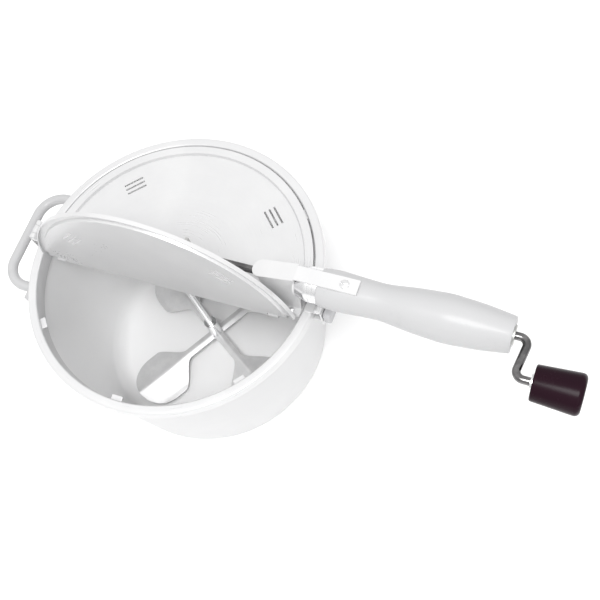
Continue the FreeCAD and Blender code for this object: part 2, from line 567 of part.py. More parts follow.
def make_crank():
    height, throw = size("handle_axis_height"), size("crank_throw")
    path = [(-size("rod_tail"), 0, height), (size("crank_bend_start"), 0, height),
            (size("crank_bend_return"), -throw, height), (size("spindle_end"), -throw, height)]
    node("crank_rod", solid("crank", rod_along(path, size("crank_bend_radius"), size("rod_radius"))))
    end = "(knob_length - knob_round)"
    profile = [("0", "0"), ("0", "knob_small_radius - 1"), ("1", "knob_small_radius"),
               (end, "knob_large_radius"),
               (f"{end} + 0.7 * knob_round", "knob_large_radius - 0.3 * knob_round"),
               ("knob_length", "knob_large_radius - knob_round"), ("knob_length", "0")]
    blank = turned("knob_blank", profile, "H_Axis")
    body = place(blank, "knob_start", "-crank_throw", "handle_axis_height")
    bore = cylinder("knob_bore", "rod_radius + rod_play", "2 * knob_length", "knob_start - 1",
                    "-crank_throw", "handle_axis_height", "X")
    recess = cylinder("knob_recess", "knob_recess_radius", "knob_recess_depth + 1",
                      "knob_start + knob_length - knob_recess_depth", "-crank_throw",
                      "handle_axis_height", "X")
    node("crank_knob", cut("knob", body, bore, recess))
    plug = cylinder("plug_disc", "knob_recess_radius", "plug_thickness",
                    "knob_start + knob_length - plug_thickness", "-crank_throw", "handle_axis_height", "X")
    node("knob_plug", plug)
    washers = [("knob_washer", "washer_radius", "washer_thickness",
                "knob_start - washer_gap - washer_thickness"),
               ("knob_push_nut", "nut_radius", "nut_thickness",
                "knob_start + knob_length - knob_recess_depth + washer_gap")]
    for label, radius, thickness, start in washers:
        disc = cylinder(label + "_disc", radius, thickness, start, "-crank_throw",
                        "handle_axis_height", "X")
        hole = cylinder(label + "_hole", "rod_radius", "3 * nut_thickness", f"{start} - 1",
                        "-crank_throw", "handle_axis_height", "X")
        node(label, cut(label + "_cut", disc, hole))


# Bevel gears ------------------------------------------------------------------------------------

def bevel_gear(teeth, mate_teeth, hub_length, bore_radius, first_tooth):
    """A straight bevel gear with its apex at the origin, its axis on -Z and its hub beyond its teeth."""
    module = size("gear_module")
    pitch_radius = module * teeth / 2
    drop = module * mate_teeth / 2
    length = math.hypot(pitch_radius, drop)
    inner = 1 - size("gear_face") / length
    across = pitch_radius / length
    down = drop / length

    def point(lift, scale, share=0):
        """A point of the tooth at angle 0, lifted off the pitch cone, moved aside, scaled to the apex."""
        radius = pitch_radius + lift * down
        aside = share * math.pi / teeth * pitch_radius
        return Vector(radius, aside, lift * across - drop) * scale

    root = -size("dedendum_share") * module
    tip = size("addendum_share") * module
    low, high = point(root, 1), point(root, inner)
    back = -drop - size("gear_back") - size("dedendum_share") * module
    hub = size("gear_hub_radius")
    corners = [Vector(0, 0, high.z), high, low, Vector(low.x, 0, back), Vector(hub, 0, back),
               Vector(hub, 0, back - hub_length), Vector(0, 0, back - hub_length)]
    wheel = Part.Face(Part.makePolygon(corners + corners[:1])).revolve(Vector(), Z_AXIS, 360)
    if wheel.Volume < 0:
        wheel.reverse()
    widths = [(root - 0.3, "tooth_root_share"), (0, "tooth_pitch_share"), (tip, "tooth_tip_share")]
    sections = []
    for scale in (1, inner):
        left = [point(lift, scale, -size(share)) for lift, share in widths]
        right = [point(lift, scale, size(share)) for lift, share in widths]
        ring = left + right[::-1]
        sections.append(Part.makePolygon(ring + ring[:1]))
    tooth = Part.makeLoft(sections, True, True)
    teeth_solids = []
    for index in range(teeth):
        copy = tooth.copy()
        copy.rotate(Vector(), Z_AXIS, math.degrees(math.tau * index / teeth + first_tooth))
        teeth_solids.append(copy)
    bore = Part.makeCylinder(bore_radius, -2 * back, Vector(0, 0, 2 * back))
    return wheel.fuse(teeth_solids).cut(bore)


def make_gears():
    drive, driven = int(size("drive_teeth")), int(size("driven_teeth"))
    apex = (0, 0, size("handle_axis_height"))
    below = bevel_gear(driven, drive, size("driven_hub_length"), size("shaft_radius"), math.pi / driven)
    node("driven_bevel_gear", solid("driven_gear", below, apex))
    beside = bevel_gear(drive, driven, size("drive_hub_length"), size("rod_radius"), 0)
    beside.rotate(Vector(), Y_AXIS, -90)
    node("drive_bevel_gear", solid("drive_gear", beside, apex))


FRAME_BASE = f"({BAR_TOP} + frame_sheet)"
FRAME_TOP = "(handle_axis_height + frame_top_margin)"


def make_gear_frame():
    base = box("frame_base", ("frame_far", "frame_near"), ("-frame_half_width", "frame_half_width"),
               (BAR_TOP, FRAME_BASE))
    pieces = [base]
    for name, start in (("near", "frame_near - frame_sheet"), ("far", "frame_far")):
        pieces.append(box(f"frame_{name}", (start, f"{start} + frame_sheet"),
                          ("-frame_half_width", "frame_half_width"), (BAR_TOP, FRAME_TOP)))
    rod_hole = cylinder("frame_rod_hole", "rod_radius + rod_play", "4 * tool_margin", "-2 * tool_margin",
                        z="handle_axis_height", along="X")
    shaft_hole = cylinder("frame_shaft_hole", "shaft_bush_radius", "2 * tool_margin",
                          z=f"{BAR_TOP} - tool_margin")
    node("gear_frame", cut("frame_cut", fuse("frame_blank", *pieces), rod_hole, shaft_hole))
    sleeve = cylinder("bush_sleeve", "shaft_bush_radius", f"{BAR_TOP} + shaft_bush_height - {LEDGE_TOP}",
                      z=LEDGE_TOP)
    flange = cylinder("bush_flange", "shaft_bush_flange_radius", "shaft_bush_flange",
                      z=f"{LEDGE_TOP} - shaft_bush_flange")
    bore = cylinder("bush_shaft_bore", "shaft_radius + shaft_play", "4 * tool_margin",
                    z=f"{LEDGE_TOP} - tool_margin")
    node("shaft_bush", cut("bush_cut", fuse("bush_body", sleeve, flange), bore))


# Stirrer ----------------------------------------------------------------------------------------

def make_stirrer():
    top = "(handle_axis_height - rod_radius - shaft_top_gap)"
    node("stirrer_shaft", cylinder("shaft", "shaft_radius", f"{top} - shaft_foot", z="shaft_foot"))
    collar = cylinder("collar_disc", "collar_radius", "collar_height",
                      z=f"{LEDGE_TOP} - shaft_bush_flange - collar_drop - collar_height")
    hub = cylinder("hub_disc", "hub_radius", "hub_height", z="hub_foot")
    for label, blank in (("shaft_collar", collar), ("stirrer_hub", hub)):
        bore = cylinder(label + "_bore", "shaft_radius", "2 * pan_height", z="-tool_margin")
        node(label, cut(label + "_cut", blank, bore))


def blade_blank():
    """One blade along +X: a sheet folded along its middle, trimmed to a narrow arm and a wide paddle."""
    foot, thick, rise = size("blade_foot"), size("blade_sheet"), size("blade_rise")
    half, arm, nose = size("blade_half_width"), size("blade_arm_half_width"), size("blade_nose_half_width")
    start, reach = size("hub_radius") - size("blade_seat"), size("blade_reach")
    fold = [(-half, foot), (0, foot + rise), (half, foot), (half, foot + thick),
            (0, foot + rise + thick), (-half, foot + thick)]
    section = [Vector(start, across, height) for across, height in fold]
    sheet_metal = Part.Face(Part.makePolygon(section + section[:1])).extrude(Vector(reach - start, 0, 0))
    edge = [(start, arm), (size("blade_neck"), arm), (size("blade_shoulder"), half),
            (size("blade_corner"), half), (reach, nose)]
    edge += [(distance, -across) for distance, across in reversed(edge)]
    rim = [Vector(distance, across, 0) for distance, across in edge]
    trim = Part.Face(Part.makePolygon(rim + rim[:1])).extrude(Vector(0, 0, foot + rise + 2 * thick))
    return sheet_metal.common(trim).cut(Part.makeCylinder(size("hub_radius"), size("hub_height") * 2))


def make_blades():
    count = int(size("blade_count"))
    for index in range(count):
        shape = blade_blank()
        shape.rotate(Vector(), Z_AXIS, size("blade_bearing") + 360 * index / count)
        node(f"stirrer_blade_{index + 1}", solid(f"blade_{index + 1}", shape))


# Latches ----------------------------------------------------------------------------------------

LATCH_HEIGHT = f"({LID_TOP} + latch_pivot_rise)"


def make_latch(side, where, pad_half_width):
    """A hinged clip over the rim: base, pin, hooked plate and thumb pad."""
    half = ("-latch_half_width", "latch_half_width")
    pin_x = f"({side} * {LATCH_REACH})"
    base = box(f"latch_base_{where}", mirrored(side, LATCH_BASE_START, LATCH_REACH), half,
               (LID_TOP, f"{LID_TOP} + latch_sheet"))
    knuckles = []
    for end in (-1, 1):
        span = mirrored(end, "latch_barrel_half_length + latch_barrel_gap", "latch_half_width")
        knuckles.append(cylinder(f"latch_knuckle_{where}_{end + 1}", "latch_barrel_radius",
                                 "latch_half_width - latch_barrel_half_length - latch_barrel_gap",
                                 pin_x, span[0], LATCH_HEIGHT, "Y"))
        knuckles.append(box(f"latch_cheek_{where}_{end + 1}",
                            mirrored(side, f"{LATCH_REACH} - latch_barrel_radius", LATCH_REACH), span,
                            (LID_TOP, LATCH_HEIGHT)))
    bore = cylinder(f"latch_bore_{where}", "latch_pin_radius", "2 * tool_margin", pin_x,
                    "-tool_margin", LATCH_HEIGHT, "Y")
    notch = cylinder(f"latch_notch_{where}", "latch_barrel_radius + latch_barrel_gap",
                     "2 * (latch_barrel_half_length + latch_barrel_gap)", pin_x,
                     "-(latch_barrel_half_length + latch_barrel_gap)", LATCH_HEIGHT, "Y")
    whole = fuse(f"latch_base_all_{where}", base, *knuckles)
    node(f"{where}_latch_base", cut(f"latch_base_cut_{where}", whole, bore, notch))
    node(f"{where}_latch_pin", cylinder(f"latch_rod_{where}", "latch_pin_radius", "2 * latch_half_width",
                                        pin_x, "-latch_half_width", LATCH_HEIGHT, "Y"))
    barrel = cylinder(f"latch_barrel_{where}", "latch_barrel_radius", "2 * latch_barrel_half_length",
                      pin_x, "-latch_barrel_half_length", LATCH_HEIGHT, "Y")
    outer = f"({LATCH_REACH} + latch_barrel_radius)"
    foot = f"({LATCH_HEIGHT} - latch_plate_drop)"
    neck = box(f"latch_neck_{where}", mirrored(side, f"{outer} - latch_sheet", outer),
               ("-latch_barrel_half_length", "latch_barrel_half_length"),
               (f"{LATCH_HEIGHT} - 2 * latch_barrel_radius", LATCH_HEIGHT))
    face = box(f"latch_face_{where}", mirrored(side, f"{outer} - latch_sheet", outer), half,
               (foot, f"{LATCH_HEIGHT} - latch_barrel_radius - latch_barrel_gap"))
    hook = box(f"latch_hook_{where}", mirrored(side, f"{outer} - latch_hook_length", outer), half,
               (f"{LATCH_HEIGHT} - latch_hook_drop - latch_sheet", f"{LATCH_HEIGHT} - latch_hook_drop"))
    play = cylinder(f"latch_play_{where}", "latch_pin_radius + latch_play", "2 * tool_margin", pin_x,
                    "-tool_margin", LATCH_HEIGHT, "Y")
    clip = fuse(f"latch_clip_all_{where}", barrel, neck, face, hook)
    node(f"{where}_latch_clip", cut(f"latch_clip_{where}", clip, play))
    pad = box(f"latch_pad_{where}", mirrored(side, outer, f"{outer} + pad_thickness"),
              (f"-{pad_half_width}", pad_half_width),
              (f"{LATCH_HEIGHT} - pad_drop - pad_height", f"{LATCH_HEIGHT} - pad_drop"))
    node(f"{where}_latch_pad", pad)


make_pan()
make_helper_handle()
make_lid_ring()
make_crossbar()
make_doors()
make_grip()
make_handle_fittings()
make_bracket()
make_crank()
make_gears()
make_gear_frame()
make_stirrer()
make_blades()
make_latch(1, "handle_side", "near_pad_half_width")
make_latch(-1, "far_side", "far_pad_half_width")


def finish():
    """Recomputes, checks every object and writes each sub-part to its own STEP file."""
    doc.recompute()
    for thing in doc.Objects:
        if {"Invalid", "Error"} & set(thing.State):
            raise RuntimeError(f"{thing.Name} failed: {thing.State}")
    os.makedirs("parts", exist_ok=True)
    for thing in parts:
        if thing.Shape.isNull() or not thing.Shape.isValid():
            raise RuntimeError(f"{thing.Label} has no valid shape")
        thing.Shape.exportStep(f"parts/{thing.Label}.step")
        print(f"{thing.Label}: {len(thing.Shape.Solids)} solid(s), {thing.Shape.Volume / 1000:.2f} cm3")


finish()
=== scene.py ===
# %% [markdown]
# # A hand-crank popcorn popper
#
# The popper is a tapered aluminium pan with a long handle. A rod runs through the handle: turning its knob
# turns a pair of bevel gears, and they turn four blades on the pan's floor. The maker's drawing is loaded
# first and stays as it is. This lesson adds the finer surfaces, the finishes, the light and the camera.

# %% Load the drawn parts
import bmesh
import bpy
import numpy as np
from mathutils import Matrix, Vector


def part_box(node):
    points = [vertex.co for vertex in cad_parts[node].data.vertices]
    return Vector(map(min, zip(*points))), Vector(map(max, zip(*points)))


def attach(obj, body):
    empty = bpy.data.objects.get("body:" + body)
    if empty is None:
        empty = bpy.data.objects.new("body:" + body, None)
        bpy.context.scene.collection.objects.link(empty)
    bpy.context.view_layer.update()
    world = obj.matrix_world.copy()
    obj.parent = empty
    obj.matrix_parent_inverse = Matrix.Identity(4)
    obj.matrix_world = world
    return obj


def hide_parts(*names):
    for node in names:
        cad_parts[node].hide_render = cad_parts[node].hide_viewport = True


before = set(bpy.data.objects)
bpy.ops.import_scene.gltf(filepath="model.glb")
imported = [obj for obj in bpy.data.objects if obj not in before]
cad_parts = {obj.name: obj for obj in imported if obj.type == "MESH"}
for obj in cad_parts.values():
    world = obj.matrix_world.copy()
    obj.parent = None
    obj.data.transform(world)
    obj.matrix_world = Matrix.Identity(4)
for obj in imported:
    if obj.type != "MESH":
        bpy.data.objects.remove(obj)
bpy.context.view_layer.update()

MM = 0.001

# %% [markdown]
# ## The camera
#
# The popper is seen from high on its right-hand side, with the camera tilted so that the long handle runs
# level to the right. A camera can be placed by hand, but three angles and a distance are easier to check:
# the bearing round the pan, the height above the horizon, and the roll about the line of sight. The camera
# then slides sideways in its own picture plane, so the pan sits left of the middle.

# %% Camera
BEARING, ELEVATION, ROLL = np.radians([41.08, 63.22, -23.46])
DISTANCE, SLIDE_RIGHT, SLIDE_UP = 0.71485, -0.0971, 0.02014
LOOK_AT = np.array([0, 0, 0.130])
LENS, SENSOR = 54, 36
NEAREST, FARTHEST = 0.01, 20


def camera_axes(bearing, elevation, roll):
    """Right, up and backward directions: spherical angles first, then right and up turn by the roll."""
    level = np.cos(elevation)
    back = np.array([np.sin(bearing) * level, -np.cos(bearing) * level, np.sin(elevation)])
    right = np.cross([0, 0, 1], back)
    right /= np.linalg.norm(right)
    up = np.cross(back, right)
    return (np.cos(roll) * right + np.sin(roll) * up, np.cos(roll) * up - np.sin(roll) * right, back)


right, up, back = camera_axes(BEARING, ELEVATION, ROLL)
place = LOOK_AT + DISTANCE * back - SLIDE_RIGHT * right - SLIDE_UP * up
camera = bpy.data.objects.new("camera", bpy.data.cameras.new("camera"))
camera.data.lens, camera.data.sensor_width = LENS, SENSOR
camera.data.clip_start, camera.data.clip_end = NEAREST, FARTHEST
camera.matrix_world = Matrix(np.vstack([np.column_stack([right, up, back, place]), [0, 0, 0, 1]]).tolist())
bpy.context.scene.collection.objects.link(camera)
bpy.context.scene.camera = camera
print("camera at", np.round(place, 3), "m")

# %% [markdown]
# ## Floor and light
#
# Polished metal shows whatever stands round it, so the room matters as much as the lamps. The room is
# white overhead and greyer towards the horizon, so a curved wall mirrors a slow gradient and not one flat
# tone. A large soft lamp high at the front reaches down into the open pan, and a weaker one from the side
# adds highlights along the rods.

# %% Floor and lamps
def flat_colour(name, colour, roughness):
    """A plain matt material, for the floor only."""
    material = bpy.data.materials.new(name)
    material.use_nodes = True
    shader = material.node_tree.nodes["Principled BSDF"]
    shader.inputs["Base Color"].default_value = (*colour, 1)
    shader.inputs["Roughness"].default_value = roughness
    return material


FLOOR_HALF = 6.0
floor_mesh = bpy.data.meshes.new("floor")
corners = FLOOR_HALF * np.array([[-1, -1, 0], [1, -1, 0], [1, 1, 0], [-1, 1, 0]])
floor_mesh.from_pydata(corners.tolist(), [], [(0, 1, 2, 3)])
floor_mesh.materials.append(flat_colour("pale_floor", (0.94, 0.94, 0.94), 0.9))
floor = bpy.data.objects.new("floor", floor_mesh)
bpy.context.scene.collection.objects.link(floor)


def soft_lamp(name, place, aim, width, watts):
    """A square lamp that faces a point."""
    lamp = bpy.data.objects.new(name, bpy.data.lights.new(name, "AREA"))
    lamp.data.size, lamp.data.energy = width, watts
    lamp.location = place
    lamp.rotation_euler = (Vector(aim) - Vector(place)).to_track_quat("-Z", "Y").to_euler()
    bpy.context.scene.collection.objects.link(lamp)


soft_lamp("key", (0.28, -0.40, 1.40), (0, -0.04, 0.08), 0.50, 12.5)
soft_lamp("side", (1.1, -1.0, 0.9), (0.05, 0, 0.12), 0.7, 1.0)

# %% The room
SKY_STOPS = [(0.05, (0.74, 0.74, 0.745, 1)), (0.60, (1.0, 1.0, 1.0, 1))]
world = bpy.data.worlds.new("white_room")
world.use_nodes = True
room, join = world.node_tree.nodes, world.node_tree.links.new
direction, height = room.new("ShaderNodeTexCoord"), room.new("ShaderNodeSeparateXYZ")
sky = room.new("ShaderNodeValToRGB")
for stop, (position, colour) in zip(sky.color_ramp.elements, SKY_STOPS):
    stop.position, stop.color = position, colour
join(direction.outputs["Generated"], height.inputs[0])
join(height.outputs["Z"], sky.inputs[0])
join(sky.outputs[0], room["Background"].inputs["Color"])
room["Background"].inputs["Strength"].default_value = 1.0
bpy.context.scene.world = world
bpy.context.scene.view_settings.view_transform = "Standard"

# %% [markdown]
# ## Writing finishes as sums
#
# A finish is a graph of shader nodes, and wiring Math nodes by hand hides the formula. Here a socket is
# wrapped in a small class, so `0.4 + rings * 0.1` adds the nodes itself and still reads as arithmetic.
# Everything that isn't arithmetic comes from one method that takes a node's type, settings and inputs.

# %% Sums on sockets
class Amount:
    """A number that varies over a surface, as the output socket of a node."""

    def __init__(self, finish, socket):
        self.finish, self.socket = finish, socket

    def join(self, operation, *values):
        return self.finish.node("ShaderNodeMath", {"operation": operation}, dict(enumerate(values)))

    def __add__(self, other):
        return self.join("ADD", self, other)

    def __sub__(self, other):
        return self.join("SUBTRACT", self, other)

    def __rsub__(self, other):
        return self.join("SUBTRACT", other, self)

    def __mul__(self, other):
        return self.join("MULTIPLY", self, other)

    def __pow__(self, other):
        return self.join("POWER", self, other)

    def between(self, low, high):
        """0 below low, 1 above high, and a smooth rise from one to the other."""
        return self.finish.node("ShaderNodeMapRange", {"interpolation_type": "SMOOTHSTEP"},
                                {"Value": self, "From Min": low, "From Max": high})

    __radd__ = __add__


class Finish:
    """A material whose nodes are added in the order that the surface is described."""

    def __init__(self, name, **plain):
        self.material = bpy.data.materials.new(name)
        self.material.use_nodes = True
        self.tree = self.material.node_tree
        self.shader = self.tree.nodes["Principled BSDF"]
        self.set(self.shader, plain)

    def node(self, kind, settings=None, inputs=None, output=0):
        """Adds a node, sets it up, joins its inputs, and returns one output as an Amount."""
        made = self.tree.nodes.new(kind)
        for key, value in (settings or {}).items():
            setattr(made, key, value)
        self.set(made, inputs or {})
        return Amount(self, made.outputs[output])

    def set(self, made, inputs):
        """Joins or sets sockets, named in words with _ for a space, or numbered."""
        for key, value in inputs.items():
            socket = made.inputs[key.replace("_", " ") if isinstance(key, str) else key]
            if isinstance(value, Amount):
                self.tree.links.new(value.socket, socket)
            else:
                socket.default_value = value

    def where(self):
        """The point on the object, in metres, as a vector."""
        return self.node("ShaderNodeTexCoord", output="Object")

    def noise(self, vector, scale, detail=3.0, roughness=0.55):
        """Smooth noise from 0 to 1 about 0.5."""
        return self.node("ShaderNodeTexNoise", {}, {"Vector": vector, "Scale": scale, "Detail": detail,
                                                    "Roughness": roughness})

    def mix(self, share, first, second):
        """A colour between two colours."""
        made = self.tree.nodes.new("ShaderNodeMix")
        made.data_type = "RGBA"
        for socket, value in ((made.inputs[0], share), (made.inputs[6], first), (made.inputs[7], second)):
            if isinstance(value, Amount):
                self.tree.links.new(value.socket, socket)
            else:
                socket.default_value = value if isinstance(value, float) else (*value, 1)
        return Amount(self, made.outputs[2])

    def relief(self, height, depth):
        """A Bump node: height from 0 to 1 stands for a real depth in metres."""
        return self.node("ShaderNodeBump", {}, {"Height": height, "Distance": depth, "Strength": 1.0})

    def done(self, **inputs):
        """Joins the varying inputs of the surface shader."""
        self.set(self.shader, inputs)
        print("finish:", self.material.name, "with", len(self.tree.nodes), "nodes")
        return self.material


# %% [markdown]
# ## Spun aluminium
#
# The pan, the lid ring and the doors were turned or pressed from sheet. A spinning tool leaves very fine
# rings round the pan's axis. They could be drawn as stripes in a picture, but rings worked out from the
# distance to the axis never stretch, and they meet the wall and the floor without a join. Noise that is
# squeezed hard across the rings and hardly varies along them gives their uneven depth.

# %% Spun aluminium
RINGS, RING_DEPTH = 700, 0.00004
WALL_FOOT, WALL_SLOPE = 0.0985, 0.1186
HALF_SHEET, EDGE = 0.0008, 0.0002


def spun_aluminium(name, pale, dark, metal, roughness, painted_light_inside=None):
    """Rings: noise read at (radius, height, bearing), fine along the first two and coarse along the last.
    Colour and roughness vary with slow clouds and with the rings, which fade out close to the axis.
    The inside of the pan, where radius < WALL_FOOT + WALL_SLOPE * height, can take paler colours: painted
    light that lifts the shade inside the pan."""
    finish = Finish(name, Metallic=metal, Specular_IOR_Level=0.5)
    at = finish.where()
    split = finish.tree.nodes.new("ShaderNodeSeparateXYZ")
    finish.tree.links.new(at.socket, split.inputs[0])
    x, y, z = (Amount(finish, split.outputs[i]) for i in range(3))
    radius = (x * x + y * y) ** 0.5
    bearing = x.join("ARCTAN2", y, x)
    ring_point = finish.node("ShaderNodeCombineXYZ", {},
                             {"X": radius * RINGS, "Y": z * RINGS, "Z": bearing * 0.8})
    off_axis = radius.between(0.010, 0.040)
    rings = (finish.noise(ring_point, 1.0, 4.0, 0.7) - 0.5) * off_axis + 0.5
    clouds = finish.noise(at, 14.0, 4.0)
    specks = finish.noise(at, 420.0, 2.0)
    worn = clouds.between(0.42, 0.72) * 0.6 + rings * 0.4
    colour = finish.mix(worn, dark, pale)
    # Painted light: the inside of the pan takes much paler colours, which stand in for light filling its
    # shaded interior.
    if painted_light_inside:
        outside = (radius - z * WALL_SLOPE).between(WALL_FOOT - EDGE, WALL_FOOT + EDGE)
        raised = z.between(HALF_SHEET - EDGE, HALF_SHEET + EDGE)
        colour = finish.mix(raised * (1 - outside), colour, finish.mix(worn, painted_light_inside[1], painted_light_inside[0]))
    return finish.done(Base_Color=colour,
                       Roughness=roughness + (clouds - 0.5) * 0.16 + (rings - 0.5) * 0.10,
                       Normal=finish.relief(rings * 0.8 + specks * 0.2, RING_DEPTH))


# The last pair of colours is painted light for the inside of the pan. It is far paler than the outside, to
# lift the shade there.
pan_finish = spun_aluminium("spun_aluminium", (0.64, 0.64, 0.642), (0.58, 0.58, 0.585), 0.15, 0.34,
                            ((0.97, 0.97, 0.97), (0.93, 0.93, 0.932)))
lid_finish = spun_aluminium("pressed_aluminium", (0.70, 0.70, 0.70), (0.63, 0.63, 0.635), 0.30, 0.30)

# %% [markdown]
# ## Moulded grip, knob and pads
#
# The long grip, the loop and the latch pads are a pale moulded resin with a soft gloss, and the knob is a
# deep aubergine one that is polished. Moulded resin is never quite even: it has faint flow marks, a fine
# grain where the mould was blasted, and small dull scuffs where hands rub it. Three noises of different
# sizes stand for the three, and only the finest one is turned into relief.

# %% Moulded resin
def moulded(name, colour, scuffed, roughness, coat, grain=0.00003, ior=1.33):
    """Flow marks are noise stretched along X, grain is fine noise, and scuffs are where a coarse noise is
    high."""
    finish = Finish(name, Metallic=0.0, Coat_Roughness=0.12, IOR=ior)
    at = finish.where()
    stretched = finish.node("ShaderNodeMapping", {}, {"Vector": at, "Scale": (18, 90, 90)})
    flow = finish.noise(stretched, 1.0, 3.0)
    fine = finish.noise(at, 900.0, 2.0)
    scuffs = finish.noise(at, 60.0, 5.0, 0.65).between(0.56, 0.74)
    share = flow * 0.45 + scuffs * 0.55
    return finish.done(Base_Color=finish.mix(share, colour, scuffed),
                       Roughness=roughness + scuffs * 0.16 + flow * 0.05,
                       Coat_Weight=coat - scuffs * (coat * 0.6), Normal=finish.relief(fine, grain))


grip_finish = moulded("pale_resin", (0.48, 0.48, 0.484), (0.42, 0.42, 0.428), 0.36, 0.10)
pad_finish = moulded("latch_pad_resin", (0.46, 0.46, 0.47), (0.39, 0.39, 0.40), 0.34, 0.2)
knob_finish = moulded("aubergine_resin", (0.012, 0.003, 0.007), (0.022, 0.008, 0.014), 0.24, 0.0,
                      0.00001, 1.18)

# %% [markdown]
# ## Steel parts
#
# The crank rod is drawn steel wire, darker than anything round it but for the knob. The gears and their
# frame are dull zinc-plated steel, and pins and rivets are bright. Drawing leaves long scratches along the
# wire, so its noise is stretched along the rod. Plating shows cloudy patches instead.

# %% Steel
def steel(name, pale, dark, roughness, stretch, depth, metal=1.0):
    """Scratches are noise squeezed by a stretch for each axis; darker clouds stand for handling."""
    finish = Finish(name, Metallic=metal)
    at = finish.where()
    squeezed = finish.node("ShaderNodeMapping", {}, {"Vector": at, "Scale": stretch})
    scratches = finish.noise(squeezed, 1.0, 4.0, 0.7)
    clouds = finish.noise(at, 90.0, 4.0, 0.6)
    share = clouds.between(0.38, 0.68) * 0.65 + scratches * 0.35
    return finish.done(Base_Color=finish.mix(share, dark, pale),
                       Roughness=roughness + (clouds - 0.5) * 0.22 + (scratches - 0.5) * 0.12,
                       Normal=finish.relief(scratches, depth))


crank_finish = steel("drawn_steel", (0.27, 0.265, 0.265), (0.09, 0.088, 0.09), 0.18,
                     (60, 900, 900), 0.00002)
gear_finish = steel("plated_steel", (0.66, 0.66, 0.64), (0.48, 0.48, 0.47), 0.42,
                    (700, 700, 700), 0.00002)
blade_finish = steel("stirrer_steel", (0.72, 0.72, 0.72), (0.62, 0.62, 0.625), 0.45,
                     (500, 500, 500), 0.00002, 0.35)
bright_finish = steel("bright_steel", (0.90, 0.90, 0.90), (0.78, 0.78, 0.79), 0.24,
                      (600, 600, 600), 0.00001)

# %% [markdown]
# ## Dressing the drawn parts
#
# Most drawn parts have the right shape already and only need their finish. The list says which finish each
# one takes, by the name of its part, and anything left over would be printed, so nothing stays undressed.

# %% Finishes of the drawn parts
WORN_BY = {
    pan_finish: "pan_bowl",
    lid_finish: "lid_ring lid_crossbar front_door rear_door handle_bracket handle_side_latch_base "
                "handle_side_latch_clip far_side_latch_base far_side_latch_clip",
    grip_finish: "helper_handle_loop helper_handle_lug_front helper_handle_lug_rear handle_grip",
    pad_finish: "handle_side_latch_pad far_side_latch_pad",
    knob_finish: "crank_knob knob_plug",
    crank_finish: "crank_rod",
    gear_finish: "handle_end_bush drive_bevel_gear driven_bevel_gear gear_frame shaft_bush shaft_collar",
    blade_finish: "front_door_tab stirrer_blade_1 stirrer_blade_2 stirrer_blade_3 stirrer_blade_4",
    bright_finish: "front_hinge_pin rear_hinge_pin helper_handle_rivets handle_ferrule handle_screw "
                   "bracket_foot_rivets knob_washer knob_push_nut stirrer_shaft stirrer_hub "
                   "handle_side_latch_pin far_side_latch_pin",
}
WEARS = {name: finish for finish, names in WORN_BY.items() for name in names.split()}


def dress(thing, finish):
    """Puts one finish in a mesh's only material slot."""
    thing.data.materials.clear()
    thing.data.materials.append(finish)


for name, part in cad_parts.items():
    dress(part, WEARS[name])
print("dressed:", len(WEARS), "left over:", sorted(set(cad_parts) ^ set(WEARS)))

# %% [markdown]
# ## From a table of points to a mesh
#
# Every new surface here is a grid: rows run along a piece and columns run round it. A grid is quick to
# compute as one array, and its squares give smooth shading. This helper only joins neighbours. Where a
# row shrinks to a point, as at a rod's end, the row is kept as one vertex and joined with triangles.

# %% A grid becomes a piece
def grid_faces(rows, columns, first, closed):
    """Squares between neighbouring points of a grid that starts at vertex number `first`."""
    across = columns if closed else columns - 1
    row, column = np.meshgrid(np.arange(rows - 1), np.arange(across), indexing="ij")
    beside = (column + 1) % columns
    corners = [row * columns + column, row * columns + beside, (row + 1) * columns + beside,
               (row + 1) * columns + column]
    return first + np.stack(corners, -1).reshape(-1, 4)


def fan_faces(point, ring, turned):
    """Triangles from one point to a closed ring of vertices."""
    after = np.roll(ring, -1)
    return np.stack([np.full(len(ring), point), after if turned else ring, ring if turned else after], -1)


class Shell:
    """Collects grids and turns them into one smooth mesh."""

    def __init__(self):
        self.points, self.faces, self.count = [], [], 0

    def tube(self, grid):
        """Adds rows of closed rings; a first or last row that is a single point becomes a pole."""
        spans = np.ptp(grid, axis=1).max(axis=1)
        head, tail = spans[0] < 1e-9, spans[-1] < 1e-9
        body = grid[int(head):len(grid) - int(tail)]
        rows, columns = body.shape[:2]
        first = self.count
        self.add(body.reshape(-1, 3), grid_faces(rows, columns, first, True))
        if head:
            self.add(grid[0, :1], fan_faces(self.count, first + np.arange(columns), True))
        if tail:
            last = first + (rows - 1) * columns + np.arange(columns)
            self.add(grid[-1, :1], fan_faces(self.count, last, False))
        return self

    def ring(self, grid):
        """Adds a grid that closes both ways, like a tyre."""
        return self.tube(np.concatenate([grid, grid[:1]]))

    def add(self, points, faces):
        self.points.append(points)
        self.faces += faces.tolist()
        self.count += len(points)

    def piece(self, name, finish, body, slot, *stands_for):
        """Makes the object, smooth and facing outwards, and ties it to its body and drawn parts."""
        mesh = bpy.data.meshes.new(name)
        mesh.from_pydata(np.concatenate(self.points).tolist(), [], self.faces)
        mesh.materials.append(finish)
        work = bmesh.new()
        work.from_mesh(mesh)
        bmesh.ops.remove_doubles(work, verts=work.verts, dist=1e-7)
        bmesh.ops.recalc_face_normals(work, faces=work.faces)
        work.to_mesh(mesh)
        work.free()
        mesh.shade_smooth()
        mesh.set_sharp_from_angle(angle=np.radians(50))
        made = bpy.data.objects.new(name, mesh)
        bpy.context.scene.collection.objects.link(made)
        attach(made, body)
        if stands_for:
            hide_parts(*stands_for)
        print("piece:", name, len(mesh.polygons), "faces")


# %% [markdown]
# ## Two ways to sweep a line
#
# A pan, a knob and a rivet head are one outline turned about an axis. A rod and a loop are one round
# section carried along a path. Both start from an outline with a few corners, so the first helper rounds
# them: a circle's arc is a fraction of two quadratic curves, which works on flat outlines and on paths.

